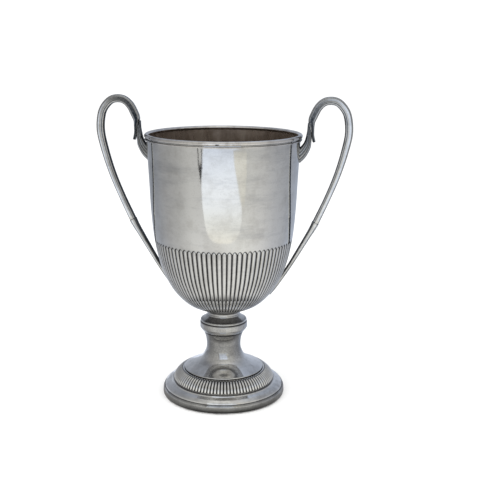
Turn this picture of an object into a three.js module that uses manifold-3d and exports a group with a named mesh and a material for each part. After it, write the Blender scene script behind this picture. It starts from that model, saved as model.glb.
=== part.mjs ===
// Two-handled presentation cup in silver plate: a spun bowl with a fluted lower half,
// a turned boss bolted to a trumpet stem, a stepped foot with a reeded band, and a
// pair of tall looped handles. Millimetres, +Z up. The origin is the centre of the
// foot where it stands on the table, and the handles lie along -X and +X.

import * as THREE from 'three';
import { mergeVertices } from 'three/addons/utils/BufferGeometryUtils.js';
import Module from 'manifold-3d';

const wasm = await Module();
wasm.setup();

// Driving dimensions
const RIM_HEIGHT = 254;
const RIM_OUTER_RADIUS = 73;
const RIM_INNER_RADIUS = 68.8;
const BOWL_MOUTH_RADIUS = 71.2;
const RIM_WIRE_RADIUS = 1.9;
const LIP_HEIGHT = RIM_HEIGHT - 1;
const WALL = 1.2;
const FLUTE_COUNT = 88;
const FLUTE_DEPTH = 1.0;
const FLUTE_TOP = 156;
const FLUTE_TOP_RADIUS = 65.3;
const BOWL_BOTTOM = 84.6;
const BOWL_BASE_RADIUS = 17.5;
const BOSS_DISC_RADIUS = 22.3;
const BOSS_BOTTOM = 73.4;
const COLLAR_RADIUS = 22.8;
const COLLAR_BOTTOM = 63.4;
const STEM_NECK_RADIUS = 16.4;
const STEM_WALL = 1.6;
const DISH_EDGE_RADIUS = 38;
const DISH_EDGE_HEIGHT = 26.8;
const BAND_RADIUS = 49.3;
const BAND_BOTTOM = 14.6;
const BAND_REED_COUNT = 94;
const FOOT_RADIUS = 59.3;
const FOOT_RING_HEIGHT = 8.9;
const STUD_RADIUS = 3;
const NUT_ACROSS_FLATS = 10;
const LOOP_CENTRE = 98;
const LOOP_ARCH_BASE = 260;
const LOOP_ARCH_WIDTH = 17.2;
const LOOP_ARCH_RISE = 24.8;
const STRAP_WIDTH = 7.4;
const STRAP_DEPTH = 8.4;
const GAP = 0.3;

// Facets round the axis: two to each flute or reed, and far fewer on plain rings
const FLUTED_SIDES = 2 * FLUTE_COUNT;
const REEDED_SIDES = 2 * BAND_REED_COUNT;
const PLAIN_SIDES = FLUTED_SIDES / 4;
const SMALL_SIDES = PLAIN_SIDES / 2;
// A plain ring's facets sag inwards by this share of their radius
const FACET_SAG = 1 / Math.cos(Math.PI / PLAIN_SIDES) - 1;

const SILVER = new THREE.MeshStandardMaterial({ color: 0xb4b2ad, roughness: 0.22, metalness: 1 });
const SILVER_DARK = new THREE.MeshStandardMaterial({ color: 0x8e8d8b, roughness: 0.3, metalness: 1 });
const BRASS = new THREE.MeshStandardMaterial({ color: 0xa98c4f, roughness: 0.4, metalness: 1 });

const cup = new THREE.Group();

function addPiece(name, geometry, material = SILVER, parent = cup) {
  const piece = new THREE.Mesh(geometry, material);
  piece.name = name;
  parent.add(piece);
  return piece;
}

// Turns an outline of [radius, height] points about the upright axis
function turned(outline, sides = PLAIN_SIDES) {
  const points = outline.map(([radius, height]) => new THREE.Vector2(radius, height));
  if (THREE.ShapeUtils.isClockWise(points)) points.reverse();
  const onAxis = points.findIndex((point) => point.x === 0);
  if (onAxis < 0) {
    points.push(points[0].clone());
  } else {
    // An outline that touches the axis starts and ends there
    while (points[0].x !== 0 || points.at(-1).x !== 0) points.push(points.shift());
  }
  return new THREE.LatheGeometry(points, sides).rotateX(Math.PI / 2);
}

// Moves alternate facet edges inwards, by the depth that depthAt gives for a radius and height
function flute(geometry, sides, depthAt) {
  const position = geometry.attributes.position;
  const pitch = (2 * Math.PI) / sides;
  for (let i = 0; i < position.count; i += 1) {
    const x = position.getX(i);
    const y = position.getY(i);
    const radius = Math.hypot(x, y);
    const column = Math.round(Math.atan2(y, x) / pitch);
    if (radius === 0 || Math.abs(column % 2) === 0) continue;
    const scale = 1 - depthAt(radius, position.getZ(i)) / radius;
    position.setXY(i, x * scale, y * scale);
  }
  return geometry;
}

function toSolid(geometry) {
  const bare = geometry.clone();
  bare.deleteAttribute('normal');
  bare.deleteAttribute('uv');
  const merged = mergeVertices(bare, 1e-4);
  return new wasm.Manifold(new wasm.Mesh({
    numProp: 3,
    vertProperties: new Float32Array(merged.attributes.position.array),
    triVerts: new Uint32Array(merged.index.array),
  }));
}

function toGeometry(solid) {
  const mesh = solid.getMesh();
  const geometry = new THREE.BufferGeometry();
  geometry.setAttribute('position', new THREE.BufferAttribute(new Float32Array(mesh.vertProperties), 3));
  geometry.setIndex(new THREE.BufferAttribute(new Uint32Array(mesh.triVerts), 1));
  geometry.computeVertexNormals();
  return geometry;
}

function cut(geometry, tool) {
  return toGeometry(toSolid(geometry).subtract(toSolid(tool)));
}

// The bowl's outer wall from the boss to the lip, as a smooth curve of radius over height
const bowlCurve = new THREE.SplineCurve([
  new THREE.Vector2(BOWL_BASE_RADIUS, BOWL_BOTTOM),
  new THREE.Vector2(33.6, 91.6),
  new THREE.Vector2(45.8, 103),
  new THREE.Vector2(54.9, 118),
  new THREE.Vector2(60.6, 133.3),
  new THREE.Vector2(FLUTE_TOP_RADIUS, FLUTE_TOP),
  new THREE.Vector2(67.9, 183),
  new THREE.Vector2(69.3, 213),
  new THREE.Vector2(BOWL_MOUTH_RADIUS, RIM_HEIGHT - 2 * RIM_WIRE_RADIUS),
]);
const BOWL_STEPS = 13;

// Points along a curve of radius over height, moved by offset to the right of its direction
function offsetCurve(curve, steps, offset = 0) {
  const points = [];
  for (let i = 0; i <= steps; i += 1) {
    const point = curve.getPoint(i / steps);
    const tangent = curve.getTangent(i / steps);
    points.push([point.x + offset * tangent.y, point.y - offset * tangent.x]);
  }
  return points;
}

// --- Bowl and rim ---------------------------------------------------------------

function bowl() {
  const wall = offsetCurve(bowlCurve, BOWL_STEPS);
  const below = wall.filter(([, height]) => height < FLUTE_TOP - 2);
  const above = wall.filter(([, height]) => height > FLUTE_TOP + 2);
  const [topRadius] = wall.at(-1);
  const fluted = turned([[0, BOWL_BOTTOM], ...below, [FLUTE_TOP_RADIUS, FLUTE_TOP], [0, FLUTE_TOP]], FLUTED_SIDES);
  flute(fluted, FLUTED_SIDES, (radius) => {
    return FLUTE_DEPTH * THREE.MathUtils.smoothstep(radius, BOWL_BASE_RADIUS, 2 * BOWL_BASE_RADIUS);
  });
  const plain = turned([
    [0, FLUTE_TOP],
    [FLUTE_TOP_RADIUS, FLUTE_TOP],
    ...above,
    [topRadius, LIP_HEIGHT],
    [0, LIP_HEIGHT],
  ]);
  const mouthRadius = topRadius - WALL;
  const inner = offsetCurve(bowlCurve, 9, -WALL - FLUTE_DEPTH).filter(([radius, height]) => {
    return radius > BOWL_BASE_RADIUS && height < RIM_HEIGHT - 20;
  });
  const hollow = turned([
    [0, inner[0][1] - 1.5],
    ...inner,
    [mouthRadius, RIM_HEIGHT - 2.4 * RIM_WIRE_RADIUS],
    [mouthRadius, RIM_HEIGHT],
    [0, RIM_HEIGHT],
  ]);
  return toGeometry(toSolid(fluted).add(toSolid(plain)).subtract(toSolid(hollow)));
}

// A round wire bent into a ring, with its centre at the given radius and height
function wireRing(radius, height, thickness, sides) {
  const outline = [];
  for (let i = 0; i < sides; i += 1) {
    const angle = ((i + 0.5) / sides) * 2 * Math.PI;
    outline.push([radius + thickness * Math.cos(angle), height + thickness * Math.sin(angle)]);
  }
  return turned(outline);
}

// The rim is a rolled bead that caps the lip and stands proud of the wall inside and out
function rimWire() {
  const wallOutside = BOWL_MOUTH_RADIUS * (1 + FACET_SAG) + GAP;
  const wallInside = BOWL_MOUTH_RADIUS - WALL - 2 * GAP;
  const underside = RIM_HEIGHT - 2 * RIM_WIRE_RADIUS;
  const middle = underside + RIM_WIRE_RADIUS;
  return turned([
    [wallOutside, underside],
    [RIM_OUTER_RADIUS - 0.5, underside],
    [RIM_OUTER_RADIUS, middle],
    [RIM_OUTER_RADIUS - 0.8, RIM_HEIGHT - 0.5],
    [RIM_OUTER_RADIUS - 2.1, RIM_HEIGHT],
    [RIM_INNER_RADIUS + 0.4, RIM_HEIGHT - 0.6],
    [RIM_INNER_RADIUS - 0.4, middle],
    [RIM_INNER_RADIUS - 0.2, underside + 0.6],
    [wallInside, underside + 0.6],
    [wallInside, LIP_HEIGHT + GAP],
    [wallOutside, LIP_HEIGHT + GAP],
  ]);
}

function rimFillet() {
  const height = RIM_HEIGHT - 2 * RIM_WIRE_RADIUS - 1.3;
  const thickness = 0.8;
  return wireRing(BOWL_MOUTH_RADIUS * (1 + FACET_SAG) + GAP + thickness, height, thickness, 5);
}

addPiece('bowl', bowl());
addPiece('rim_wire', rimWire());
addPiece('rim_fillet_wire', rimFillet());

// --- Boss, collar and stem --------------------------------------------------------

const boreRadius = STUD_RADIUS + GAP;

// The boss is turned, with a flat crown that the stud screws into, and is hollow below it
function bowlBoss() {
  const crown = BOWL_BOTTOM - GAP;
  return turned([
    [boreRadius, crown - 3],
    [boreRadius, crown],
    [16.9, crown],
    [15.9, 83],
    [16.1, 81.4],
    [15.8, 80.3],
    [16.2, 79.3],
    [18.3, 77.4],
    [20.8, 75.5],
    [BOSS_DISC_RADIUS - 0.3, BOSS_BOTTOM + 1.2],
    [BOSS_DISC_RADIUS, BOSS_BOTTOM + 0.6],
    [BOSS_DISC_RADIUS - 0.1, BOSS_BOTTOM],
    [18, BOSS_BOTTOM],
    [14, crown - 5.5],
    [13, crown - 3],
  ]);
}

function stemCollar() {
  const top = BOSS_BOTTOM - GAP;
  return turned([
    [18, COLLAR_BOTTOM],
    [20, COLLAR_BOTTOM],
    [22, 66],
    [COLLAR_RADIUS, 67.6],
    [COLLAR_RADIUS, top - 1.2],
    [COLLAR_RADIUS - 0.8, top],
    [18, top],
  ]);
}

// The trumpet and its dish are one spinning: the outer face, then the inner face back up
function stem() {
  const face = new THREE.SplineCurve([
    new THREE.Vector2(19.3, COLLAR_BOTTOM - GAP),
    new THREE.Vector2(17.3, 57),
    new THREE.Vector2(STEM_NECK_RADIUS, 50),
    new THREE.Vector2(17.3, 44),
    new THREE.Vector2(21.1, 37.1),
    new THREE.Vector2(28.3, 31.7),
    new THREE.Vector2(DISH_EDGE_RADIUS - 0.6, DISH_EDGE_HEIGHT + 0.3),
  ]);
  const steps = 8;
  const outside = face.getPoints(steps).map((point) => [point.x, point.y]);
  const inside = offsetCurve(face, steps / 2, STEM_WALL).reverse();
  const [firstRadius] = inside.at(-1);
  inside[inside.length - 1] = [firstRadius, COLLAR_BOTTOM - GAP];
  return turned([...outside, [DISH_EDGE_RADIUS, DISH_EDGE_HEIGHT - 0.8], ...inside]);
}

// The draw stud pulls the bowl and its boss down on to the stem
const SEAT_TOP = COLLAR_BOTTOM - GAP;
const SEAT_THICKNESS = 2.5;
const WASHER_THICKNESS = 1.5;
const NUT_THICKNESS = 5;
const washerTop = SEAT_TOP - SEAT_THICKNESS - GAP;
const nutTop = washerTop - WASHER_THICKNESS - GAP;
const nutBottom = nutTop - NUT_THICKNESS;

function disc(outerRadius, top, thickness) {
  return turned([
    [boreRadius, top - thickness],
    [outerRadius, top - thickness],
    [outerRadius, top],
    [boreRadius, top],
  ], SMALL_SIDES);
}

function drawStud() {
  const top = BOWL_BOTTOM - 2 * GAP;
  const bottom = nutBottom - 3;
  return turned([[0, bottom], [STUD_RADIUS, bottom], [STUD_RADIUS, top], [0, top]], SMALL_SIDES);
}

function drawNut() {
  const corner = NUT_ACROSS_FLATS / Math.sqrt(3);
  const corners = [];
  for (let i = 0; i < 6; i += 1) {
    const angle = (i * Math.PI) / 3;
    corners.push(new THREE.Vector2(corner * Math.cos(angle), corner * Math.sin(angle)));
  }
  const hexagon = new THREE.Shape(corners);
  const bore = new THREE.Path();
  bore.absarc(0, 0, boreRadius, 0, 2 * Math.PI, true);
  hexagon.holes.push(bore);
  const settings = { depth: NUT_THICKNESS, bevelEnabled: false, curveSegments: SMALL_SIDES };
  return new THREE.ExtrudeGeometry(hexagon, settings).translate(0, 0, nutBottom);
}

addPiece('bowl_boss', bowlBoss());
addPiece('stem_collar', stemCollar());
addPiece('stem', stem());
addPiece('stem_seat_plate', disc(16.7, SEAT_TOP, SEAT_THICKNESS), BRASS);
addPiece('draw_stud', drawStud(), BRASS);
addPiece('stud_washer', disc(8.5, washerTop, WASHER_THICKNESS), BRASS);
addPiece('stud_nut', drawNut(), BRASS);

// --- Foot -------------------------------------------------------------------------

function reededBand() {
  const outline = [
    [DISH_EDGE_RADIUS - 1.4, BAND_BOTTOM],
    [BAND_RADIUS, BAND_BOTTOM],
    [47.4, 19.5],
    [43.7, 23.3],
    [40.5, 25.5],
    [DISH_EDGE_RADIUS - 1, 24],
  ];
  const depth = 0.8;
  return flute(turned(outline, REEDED_SIDES), REEDED_SIDES, (radius) => (radius > 40 ? depth : 0));
}

function footFlange() {
  const top = BAND_BOTTOM - GAP;
  return turned([
    [DISH_EDGE_RADIUS - 1.4, top],
    [50.4, top],
    [51, top - 0.9],
    [54.3, 11.8],
    [57.4, FOOT_RING_HEIGHT + GAP],
    [54.4, FOOT_RING_HEIGHT + GAP],
    [49.8, 11.6],
    [DISH_EDGE_RADIUS - 1.4, 12.3],
  ]);
}

function footRing() {
  return turned([
    [54.4, 0],
    [FOOT_RADIUS - 1, 0],
    [FOOT_RADIUS - 0.2, 0.8],
    [FOOT_RADIUS, 2.4],
    [FOOT_RADIUS - 0.3, 6],
    [57.8, FOOT_RING_HEIGHT],
    [54.4, FOOT_RING_HEIGHT],
  ]);
}

addPiece('foot_reeded_band', reededBand());
addPiece('foot_flange', footFlange());
addPiece('foot_ring', footRing(), SILVER_DARK);

// --- Handles ----------------------------------------------------------------------

// Section of a strap: edges at -1 and 1, with a shallow channel down both broad sides
const strapSection = new THREE.Shape([
  [-1, -0.45], [-0.7, -1], [0, -0.7], [0.7, -1], [1, -0.45],
  [1, 0.45], [0.7, 1], [0, 0.7], [-0.7, 1], [-1, 0.45],
].map(([x, y]) => new THREE.Vector2(x, y)));

// Bends a straight strap along stations of [distance from the cup's axis, height, width].
// The handle's plane is XZ, and the depth across it runs evenly from its first to its last value.
function strap(stations, firstDepth, lastDepth, steps) {
  const points = stations.map((station) => new THREE.Vector3(...station));
  const path = new THREE.CatmullRomCurve3(points, false, 'catmullrom');
  const settings = { steps, depth: 1, bevelEnabled: false };
  const geometry = new THREE.ExtrudeGeometry(strapSection, settings);
  const position = geometry.attributes.position;
  const side = new THREE.Vector2();
  for (let i = 0; i < position.count; i += 1) {
    const along = position.getZ(i);
    const centre = path.getPoint(along);
    const tangent = path.getTangent(along);
    side.set(tangent.y, -tangent.x).normalize();
    const across = (position.getX(i) * centre.z) / 2;
    const depth = (position.getY(i) * THREE.MathUtils.lerp(firstDepth, lastDepth, along)) / 2;
    position.setXYZ(i, centre.x + across * side.x, depth, centre.y + across * side.y);
  }
  return geometry;
}

// Loop: up from the splice, over the arch, and down to the out-turned tongue
function handleLoop() {
  const arch = [];
  for (const degrees of [25, 50, 75, 105, 130, 155]) {
    const angle = THREE.MathUtils.degToRad(degrees);
    const out = LOOP_CENTRE + LOOP_ARCH_WIDTH * Math.cos(angle);
    arch.push([out, LOOP_ARCH_BASE + LOOP_ARCH_RISE * Math.sin(angle), STRAP_WIDTH]);
  }
  return strap([
    [86.8, 171.8, 6.2],
    [97.1, 195, 5.9],
    [105.8, 217.5, 6.3],
    [112.2, 240, 7],
    [LOOP_CENTRE + LOOP_ARCH_WIDTH - 0.1, 256, STRAP_WIDTH],
    ...arch,
    [81, 266, 6.6],
    [81.2, 263, 5],
    [81.7, 260, 3.5],
    [81.9, 257, 2.9],
    [82.1, 253, 2.7],
    [82.6, 250, 2.8],
    [83.4, 247.2, 2.4],
  ], STRAP_DEPTH, STRAP_DEPTH - 1, 40);
}

// Lower arm: from the splice down to the bowl, thinning until it lies along the flutes
function handleArm() {
  return strap([
    [86.5, 171.2, 6.8],
    [83.5, 165.2, 6],
    [78.6, 156.6, 5.2],
    [69.6, 140.8, 4.6],
    [60.8, 125.8, 4],
    [50, 109.6, 4],
    [43.9, 101.6, 4],
  ], STRAP_DEPTH + 0.8, 6.4, 14);
}

// Root bracket: springs from beside the tongue and spreads on to the wall under the rim
function handleBracket() {
  return strap([
    [77.5, 264, 0.4],
    [77.9, 261, 1.6],
    [78.3, 258, 2.7],
    [78.3, 254, 3.9],
    [78, 249.5, 5.2],
    [77.6, 246.6, 6.3],
    [76.6, 243, 8],
    [74.2, 239, 9.4],
    [71.2, 235.6, 11],
    [67.2, 232.6, 12.5],
  ], STRAP_DEPTH - 1.4, 11, 18);
}

// What the bowl's crests sweep out, and the gap round it
function bowlClearance() {
  const crests = offsetCurve(bowlCurve, BOWL_STEPS, GAP).map(([radius, height]) => [radius * (1 + FACET_SAG), height]);
  return turned([[0, BOWL_BOTTOM - 2], [20, BOWL_BOTTOM - 2], ...crests.slice(1), [0, RIM_HEIGHT]]);
}

const clearance = bowlClearance();

for (const [side, turn] of [['right', 0], ['left', Math.PI]]) {
  const handle = new THREE.Group();
  handle.rotation.z = turn;
  addPiece(`handle_${side}_loop`, handleLoop(), SILVER, handle);
  addPiece(`handle_${side}_arm`, cut(handleArm(), clearance), SILVER, handle);
  addPiece(`handle_${side}_root_bracket`, cut(handleBracket(), clearance), SILVER_DARK, handle);
  cup.add(handle);
}

export default cup;
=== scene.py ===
import math

import bmesh
import bpy
import numpy as np
from mathutils import Matrix, Vector


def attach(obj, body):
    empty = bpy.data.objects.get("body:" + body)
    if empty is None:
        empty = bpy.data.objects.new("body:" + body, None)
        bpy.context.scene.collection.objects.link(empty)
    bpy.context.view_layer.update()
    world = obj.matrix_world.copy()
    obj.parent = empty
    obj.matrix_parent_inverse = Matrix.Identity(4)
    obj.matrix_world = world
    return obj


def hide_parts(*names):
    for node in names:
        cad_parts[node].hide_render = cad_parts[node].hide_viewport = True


# The looks of a two-handled silver presentation cup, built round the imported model.
# The cup's dimensions are in millimetres, and MM turns them into metres.
# The cup stands on z = 0 with its axis on the Z axis and its handles along -X and +X.

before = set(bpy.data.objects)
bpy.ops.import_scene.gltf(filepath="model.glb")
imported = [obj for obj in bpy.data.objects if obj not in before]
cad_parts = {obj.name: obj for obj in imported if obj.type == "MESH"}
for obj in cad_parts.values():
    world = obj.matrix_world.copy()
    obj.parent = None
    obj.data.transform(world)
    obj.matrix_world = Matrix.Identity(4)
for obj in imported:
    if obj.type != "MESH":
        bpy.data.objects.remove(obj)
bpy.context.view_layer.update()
MM = 0.001

# The cup's main dimensions
RIM_HEIGHT = 254.0
LIP_HEIGHT = RIM_HEIGHT - 1
RIM_RADIUS = 73.0
RIM_INNER_RADIUS = 68.8
MOUTH_RADIUS = 71.2
WALL = 1.2
FLUTES = 88
FLUTE_DEPTH = 1.0
FLUTE_TOP = 156.0
FLUTE_TOP_RADIUS = 65.3
FLUTE_TURN = math.radians(0.4)
BOWL_BOTTOM = 84.6
BOWL_STATIONS = [
    (17.5, BOWL_BOTTOM), (33.6, 91.6), (45.8, 103), (54.9, 118), (60.6, 133.3),
    (FLUTE_TOP_RADIUS, FLUTE_TOP), (67.9, 183), (69.3, 213), (MOUTH_RADIUS, 250.2),
]
BOSS_BOTTOM = 73.4
COLLAR_BOTTOM = 63.4
STEM_WALL = 1.6
STEM_STATIONS = [
    (19.3, 63.1), (17.3, 57), (16.4, 50), (17.1, 44), (20.5, 37.3), (25, 33.2), (30.6, 30),
    (37.4, 27.1),
]
BAND_BOTTOM = 14.6
BAND_REEDS = 94
FOOT_RADIUS = 59.3
FOOT_RING_HEIGHT = 8.9
GAP = 0.3
SEAM = 0.12

# The camera stands this far round from the handles' broadside view
CAMERA_TURN = math.radians(6)


# --- Curves and outlines ------------------------------------------------------------

def spline(points, steps, extend=False):
    """A uniform Catmull-Rom curve through the points, with so many steps between each two."""
    points = np.array(points, float)
    before, after = points[0], points[-1]
    if extend:
        before, after = 2 * points[0] - points[1], 2 * points[-1] - points[-2]
    padded = np.vstack([before, points, after])
    curve = []
    for i in range(len(points) - 1):
        a, b, c, d = padded[i:i + 4]
        for t in np.arange(steps) / steps:
            bend = (2 * a - 5 * b + 4 * c - d) * t * t + (3 * b - a - 3 * c + d) * t ** 3
            curve.append(b + ((c - a) * t + bend) / 2)
    curve.append(points[-1])
    return np.array(curve)


def rounded(corners, steps=5):
    """A closed outline through (x, y, fillet) corners, with each fillet drawn as an arc."""
    path = []
    for i, (x, y, fillet) in enumerate(corners):
        corner = np.array((x, y), float)
        if fillet == 0:
            path.append(corner)
            continue
        back = np.array(corners[i - 1][:2]) - corner
        ahead = np.array(corners[(i + 1) % len(corners)][:2]) - corner
        back /= np.linalg.norm(back)
        ahead /= np.linalg.norm(ahead)
        half = math.acos(np.clip(back @ ahead, -1, 1)) / 2
        middle = (back + ahead) / np.linalg.norm(back + ahead)
        centre = corner + middle * fillet / math.sin(half)
        start = corner + back * fillet / math.tan(half) - centre
        end = corner + ahead * fillet / math.tan(half) - centre
        first = math.atan2(start[1], start[0])
        sweep = (math.atan2(end[1], end[0]) - first + math.pi) % (2 * math.pi) - math.pi
        for angle in first + sweep * np.arange(steps + 1) / steps:
            path.append(centre + fillet * np.array((math.cos(angle), math.sin(angle))))
    return np.array(path)


def normals_of(curve):
    """Unit normals to the right of a curve's direction: outwards on a wall that goes up."""
    along = np.gradient(curve, axis=0)
    along /= np.linalg.norm(along, axis=1)[:, None]
    return np.stack([along[:, 1], -along[:, 0]], -1)


def smoothstep(x, low, high):
    t = np.clip((x - low) / (high - low), 0, 1)
    return t * t * (3 - 2 * t)


class Profile:
    """A wall's outline, read by the distance along it."""

    def __init__(self, curve):
        self.curve = curve
        self.normals = normals_of(curve)
        lengths = np.linalg.norm(np.diff(curve, axis=0), axis=1)
        self.along = np.concatenate([[0], np.cumsum(lengths)])

    def at(self, distance, offset=0.0):
        """Radius and height at a distance along the wall, moved outwards by offset."""
        values = [
            np.interp(distance, self.along, column)
            for column in (*self.curve.T, *self.normals.T)
        ]
        return values[0] + offset * values[2], values[1] + offset * values[3]

    def where_height(self, height):
        return float(np.interp(height, self.curve[:, 1], self.along))


# --- Meshes -------------------------------------------------------------------------

def grid_faces(rows, columns, close_rows=False, close_columns=True):
    """Quads over a grid of points that are numbered row by row."""
    row = np.arange(rows if close_rows else rows - 1)
    column = np.arange(columns if close_columns else columns - 1)
    row, column = np.meshgrid(row, column, indexing="ij")
    next_row, next_column = (row + 1) % rows, (column + 1) % columns
    corners = (
        row * columns + column,
        row * columns + next_column,
        next_row * columns + next_column,
        next_row * columns + column,
    )
    return np.stack(corners, -1).reshape(-1, 4)


def add_object(name, data):
    obj = bpy.data.objects.new(name, data)
    bpy.context.scene.collection.objects.link(obj)
    return obj


def new_piece(name, points, faces, materials, oxide_and_shade=None, sharp=50):
    """A smooth-shaded mesh from points in millimetres, creased where faces meet at more than
    sharp degrees. oxide_and_shade says, for each point, how dark it is: tarnished hollows, and in
    some places painted shade and painted dark reflection."""
    mesh = bpy.data.meshes.new(name)
    mesh.from_pydata((np.asarray(points, float) * MM).tolist(), [], [list(f) for f in faces])
    if oxide_and_shade is not None:
        attribute = mesh.attributes.new("oxide_and_shade", "FLOAT", "POINT")
        attribute.data.foreach_set("value", np.asarray(oxide_and_shade, np.float32).ravel())
    for material in materials:
        mesh.materials.append(material)
    mesh.shade_smooth()
    mesh.set_sharp_from_angle(angle=math.radians(sharp))
    return add_object(name, mesh)


def flat_piece(name, corners, material):
    """One face through its corners, which are in metres."""
    mesh = bpy.data.meshes.new(name)
    mesh.from_pydata(corners, [], [tuple(range(len(corners)))])
    mesh.materials.append(material)
    return add_object(name, mesh)


class Rows:
    """Rows of points round the axis: a radius, a height and a darkness for each column, from
    tarnished hollows and from painted shade.
    """

    def __init__(self, columns):
        self.columns = columns
        self.rows = []

    def add(self, radius, height, oxide_and_shade=0.0):
        ones = np.ones(self.columns)
        self.rows.append((radius * ones, height * ones, oxide_and_shade * ones))

    def add_all(self, radii, heights, grooves):
        for row in zip(radii, heights, grooves):
            self.add(*row)

    def arrays(self):
        """All the radii, all the heights and all the darknesses."""
        return np.array(self.rows).transpose(1, 0, 2)


def merge_poles(piece):
    """Joins the points that lie together on the axis."""
    mesh = bmesh.new()
    mesh.from_mesh(piece.data)
    bmesh.ops.remove_doubles(mesh, verts=mesh.verts, dist=1e-7)
    mesh.to_mesh(piece.data)
    mesh.free()


def lathe_points(radius, height, columns, start=0.0):
    """Points over rows of radius and height, each turned through so many columns."""
    radius = radius[:, None] if radius.ndim == 1 else radius
    height = height[:, None] if height.ndim == 1 else height
    angle = start + 2 * np.pi * np.arange(columns) / columns
    grid = np.broadcast_arrays(radius * np.cos(angle), radius * np.sin(angle), height)
    return np.stack(grid, -1).reshape(-1, 3)


def turned(name, outline, material, columns=160, oxide_and_shade=None):
    """A solid turned from a closed outline of radius and height. oxide_and_shade has a value for
    each of the outline's points, or a row of values, one for each column."""
    outline = np.asarray(outline, float)
    x, y = outline.T
    if np.sum(x * np.roll(y, -1) - np.roll(x, -1) * y) < 0:
        outline = outline[::-1]
        oxide_and_shade = None if oxide_and_shade is None else oxide_and_shade[::-1]
    x, y = outline.T
    shade = None
    if oxide_and_shade is not None:
        shade = np.broadcast_to(np.reshape(oxide_and_shade, (len(outline), -1)), (len(outline), columns))
    faces = grid_faces(len(outline), columns, close_rows=True)
    return new_piece(name, lathe_points(x, y, columns), faces, [material], shade)


def finish_piece(piece, slot, *nodes):
    """Puts a piece on the cup's body in place of its CAD nodes."""
    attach(piece, "root")
    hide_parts(*nodes)


# --- Materials ----------------------------------------------------------------------

class Nodes:
    """A material's node tree, with short calls to add and join nodes."""

    def __init__(self, name):
        self.material = bpy.data.materials.new(name)
        self.material.use_nodes = True
        self.tree = self.material.node_tree
        self.tree.nodes.clear()
        self.output = self.add("ShaderNodeOutputMaterial")

    def add(self, kind, inputs=None, **settings):
        node = self.tree.nodes.new(kind)
        for key, value in settings.items():
            setattr(node, key, value)
        for key, value in (inputs or {}).items():
            self.feed(node.inputs[key], value)
        return node

    def feed(self, socket, value):
        """Joins a socket to another node's output, or sets it to a number or colour."""
        if isinstance(value, bpy.types.NodeSocket):
            self.tree.links.new(value, socket)
        else:
            socket.default_value = value

    def noise(self, vector, scale, detail=4.0, roughness=0.5, distortion=0.0):
        inputs = {"Vector": vector, "Scale": scale, "Detail": detail}
        inputs.update({"Roughness": roughness, "Distortion": distortion})
        return self.add("ShaderNodeTexNoise", inputs).outputs["Fac"]

    def remap(self, value, low, high, to_low=0.0, to_high=1.0):
        inputs = {"Value": value, "From Min": low, "From Max": high}
        inputs.update({"To Min": to_low, "To Max": to_high})
        return self.add("ShaderNodeMapRange", inputs, clamp=True).outputs["Result"]

    def math(self, operation, a, b=0.0):
        return self.add("ShaderNodeMath", {0: a, 1: b}, operation=operation).outputs[0]

    def mix(self, factor, a, b):
        node = self.add("ShaderNodeMix", data_type="RGBA")
        colours = [socket for socket in node.inputs if socket.type == "RGBA"]
        for socket, value in zip((node.inputs[0], *colours), (factor, a, b)):
            self.feed(socket, value)
        return [socket for socket in node.outputs if socket.type == "RGBA"][0]

    def stretched(self, vector, scale, turn=(0.0, 0.0, 0.0)):
        inputs = {"Vector": vector, "Scale": scale, "Rotation": turn}
        return self.add("ShaderNodeMapping", inputs).outputs["Vector"]

    def place(self):
        return self.add("ShaderNodeTexCoord").outputs["Object"]

    def bump(self, height, strength, distance):
        inputs = {"Height": height, "Strength": strength, "Distance": distance}
        return self.add("ShaderNodeBump", inputs).outputs["Normal"]

    def shown(self, kind, inputs):
        """Adds the shader that the surface shows, and gives the finished material."""
        shader = self.add(kind, inputs)
        self.tree.links.new(shader.outputs[0], self.output.inputs["Surface"])
        return self.material


# Dark colours for oxidised hollows, also used for painted shade and painted dark reflection
OXIDE_AND_SHADE_COLOUR = (0.035, 0.033, 0.034, 1)
BLUE_OXIDE_AND_SHADE_COLOUR = (0.022, 0.03, 0.042, 1)
STREAK = (0.45, 0.46, 0.49, 1)


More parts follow.
